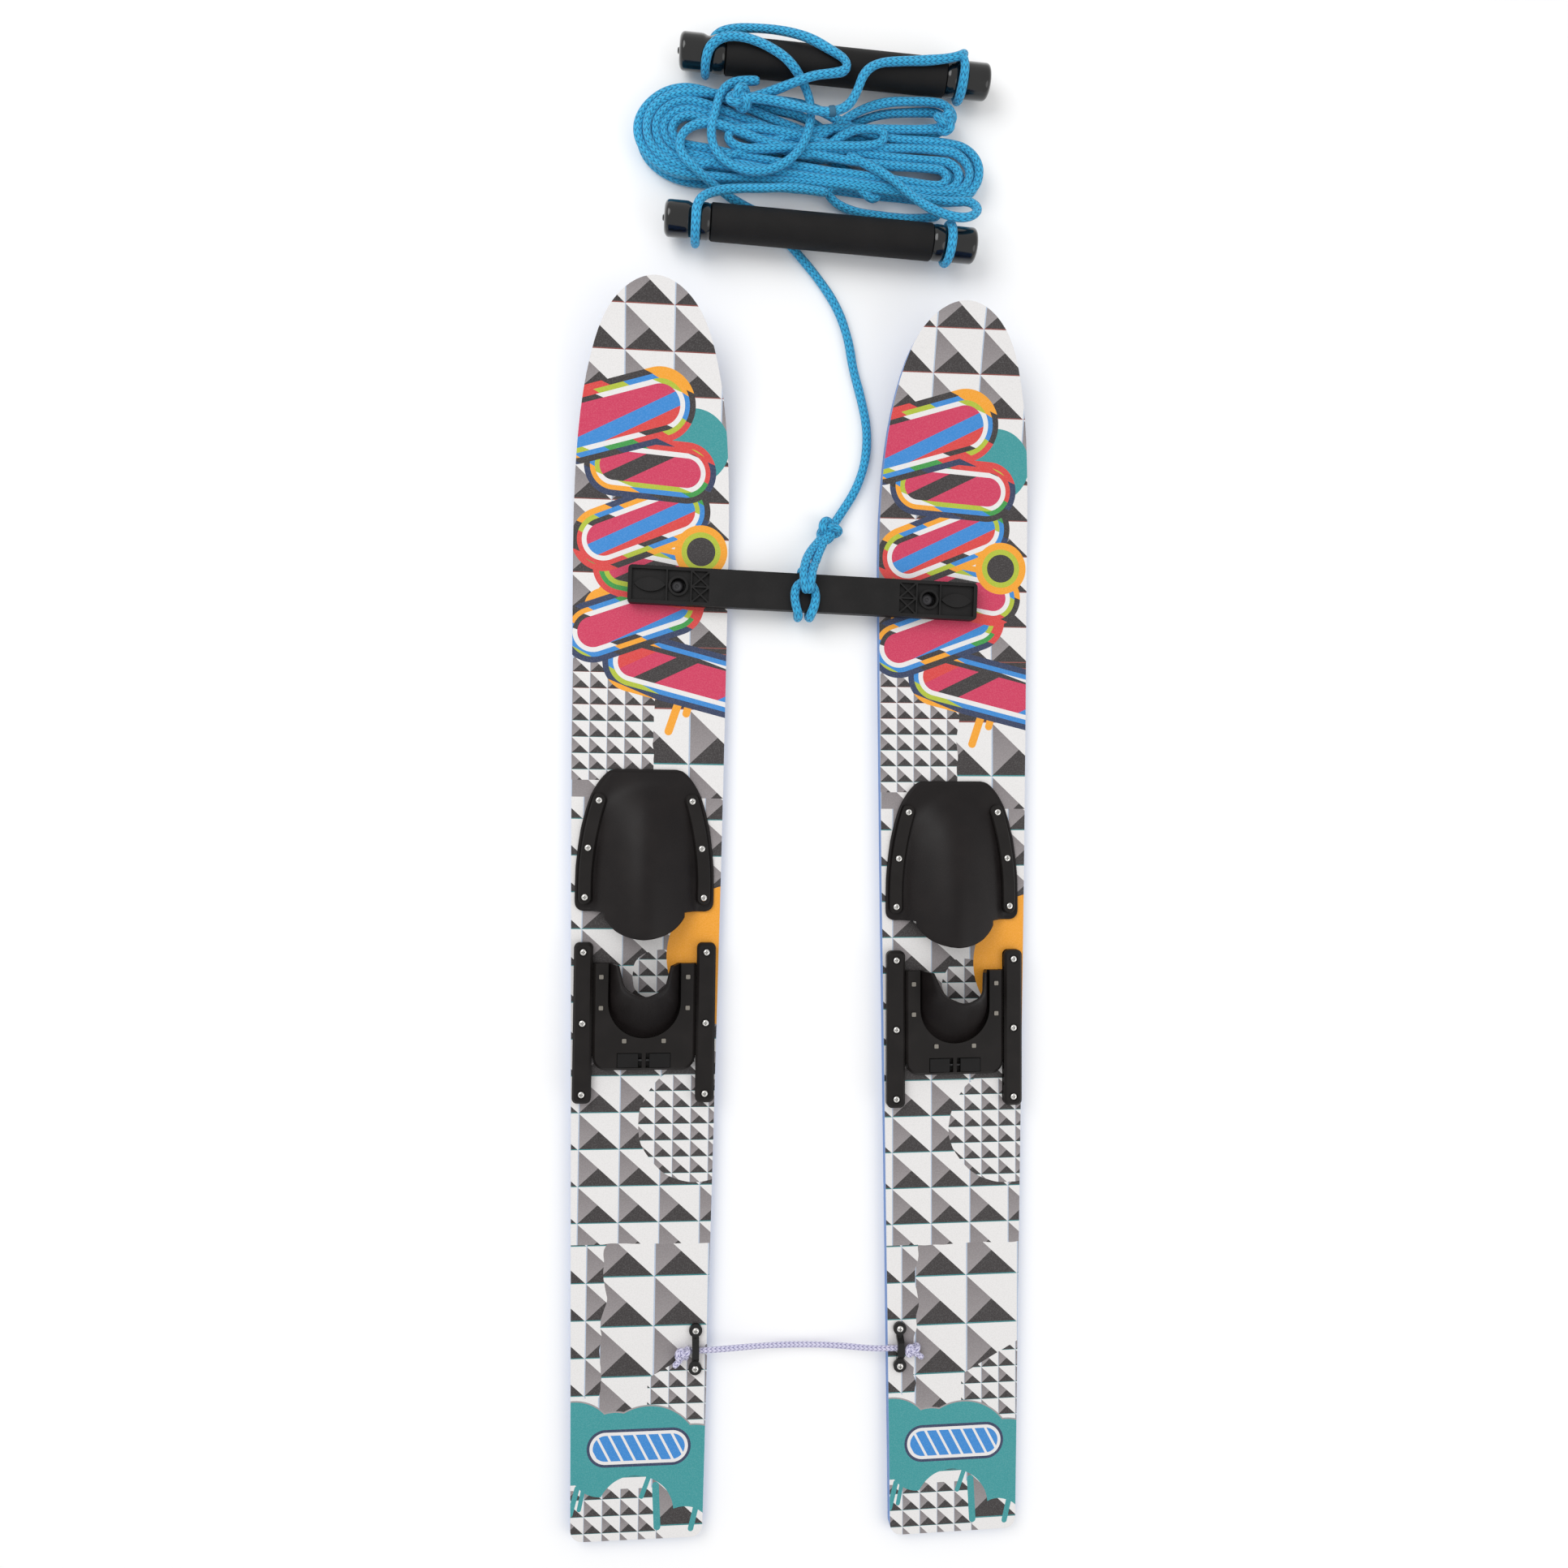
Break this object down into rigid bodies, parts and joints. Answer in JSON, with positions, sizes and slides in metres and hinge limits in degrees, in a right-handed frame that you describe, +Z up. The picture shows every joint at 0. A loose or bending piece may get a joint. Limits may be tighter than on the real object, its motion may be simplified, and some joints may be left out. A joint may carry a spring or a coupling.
{
  "type": "water ski pair",
  "caption": "Children's trainer water skis joined by a lift-off crossbar and a rear cord, with sliding rubber bindings and a tow rope with handles.",
  "frame": {"origin": "bottom centre of the pair with its handles, on the surface it lies on, cords left out", "axes": "+Y from the ski tails to the tips, +X to the right ski, +Z up"},
  "size_m": [0.4394, 1.4408, 0.0685],
  "materials": {
    "ski_base": "satin, moulded",
    "ski_core": "rigid foam",
    "brass": "turned",
    "top_sheet": "printed, gloss",
    "rubber": "matte",
    "binding_plastic": "satin, fine grain",
    "gloss_black": "moulded",
    "steel": "stainless",
    "aluminium": "drawn tube",
    "grip": "ribbed, matte",
    "grip_cap": "satin",
    "rear_cord": "braided",
    "tow_rope": "hollow braid"
  },
  "bodies": {
    "left_ski": {"left_base": "ski_base", "left_core": "ski_core", "left_inserts": "brass", "left_top_sheet": "top_sheet", "left_toe_rubber": "rubber", "left_toe_plate_outer": "binding_plastic", "left_toe_plate_inner": "binding_plastic", "left_toe_screws": "steel", "left_rail_outer": "binding_plastic", "left_rail_inner": "binding_plastic", "left_rail_screws": "steel", "left_cord_clip": "gloss_black", "left_clip_screws": "steel", "left_bar_stud": "binding_plastic", "rear_cord": "rear_cord", "rear_knot_left": "rear_cord", "rope_hank": "tow_rope", "upper_rope_left": "tow_rope", "upper_rope_right": "tow_rope", "lower_rope_left": "tow_rope", "lower_rope_right": "tow_rope"},
    "left_heel": {"left_heel_plate": "binding_plastic", "left_heel_rubber": "rubber", "left_heel_rivets": "binding_plastic", "left_tab_springs": "steel"},
    "left_tab_outer": {"left_tab_outer": "binding_plastic"},
    "left_tab_inner": {"left_tab_inner": "binding_plastic"},
    "right_ski": {"right_base": "ski_base", "right_core": "ski_core", "right_inserts": "brass", "right_top_sheet": "top_sheet", "right_toe_rubber": "rubber", "right_toe_plate_outer": "binding_plastic", "right_toe_plate_inner": "binding_plastic", "right_toe_screws": "steel", "right_rail_outer": "binding_plastic", "right_rail_inner": "binding_plastic", "right_rail_screws": "steel", "right_cord_clip": "gloss_black", "right_clip_screws": "steel", "right_bar_stud": "binding_plastic", "rear_knot_right": "rear_cord"},
    "right_heel": {"right_heel_plate": "binding_plastic", "right_heel_rubber": "rubber", "right_heel_rivets": "binding_plastic", "right_tab_springs": "steel"},
    "right_tab_outer": {"right_tab_outer": "binding_plastic"},
    "right_tab_inner": {"right_tab_inner": "binding_plastic"},
    "crossbar": {"crossbar": "gloss_black", "tow_hitch": "tow_rope", "tow_knot": "tow_rope", "tow_lead": "tow_rope"},
    "upper_handle": {"upper_handle_core": "aluminium", "upper_handle_grip": "grip", "upper_handle_cap_left": "grip_cap", "upper_handle_cap_right": "grip_cap"},
    "lower_handle": {"lower_handle_core": "aluminium", "lower_handle_grip": "grip", "lower_handle_cap_left": "grip_cap", "lower_handle_cap_right": "grip_cap"}
  },
  "joints": [
    {"name": "crossbar_lift", "type": "slide", "parent": "left_ski", "child": "crossbar", "axis": [0, 0, 1], "range_m": [0, 0.025], "deforming": ["tow_lead"]},
    {"name": "right_ski_swing", "type": "hinge", "parent": "left_ski", "child": "right_ski", "pos_m": [0.11872, 0.18401, 0.012], "axis": [0, 0, 1], "range_deg": [-6, 0.3], "deforming": ["rear_cord"]},
    {"name": "left_heel_slide", "type": "slide", "parent": "left_ski", "child": "left_heel", "axis": [0.0141, 0.9999, 0], "range_m": [-0.028, 0.018]},
    {"name": "left_tab_outer_squeeze", "type": "slide", "parent": "left_heel", "child": "left_tab_outer", "axis": [0.9999, -0.0141, 0], "range_m": [0, 0.003], "stiffness_N_per_m": 800},
    {"name": "left_tab_inner_squeeze", "type": "slide", "parent": "left_heel", "child": "left_tab_inner", "axis": [-0.9999, 0.0141, 0], "range_m": [0, 0.003], "stiffness_N_per_m": 800},
    {"name": "right_heel_slide", "type": "slide", "parent": "right_ski", "child": "right_heel", "axis": [0.0014, 1, 0], "range_m": [-0.028, 0.018]},
    {"name": "right_tab_outer_squeeze", "type": "slide", "parent": "right_heel", "child": "right_tab_outer", "axis": [-1, 0.0014, 0], "range_m": [0, 0.003], "stiffness_N_per_m": 800},
    {"name": "right_tab_inner_squeeze", "type": "slide", "parent": "right_heel", "child": "right_tab_inner", "axis": [1, -0.0014, 0], "range_m": [0, 0.003], "stiffness_N_per_m": 800},
    {"name": "upper_handle_roll", "type": "hinge", "parent": "left_ski", "child": "upper_handle", "pos_m": [0.0301, 0.6922, 0.0226], "axis": [0.9991, -0.0419, 0], "continuous": true},
    {"name": "lower_handle_roll", "type": "hinge", "parent": "left_ski", "child": "lower_handle", "pos_m": [0.016, 0.5314, 0.0262], "axis": [0.999, -0.0447, 0], "continuous": true}
  ]
}
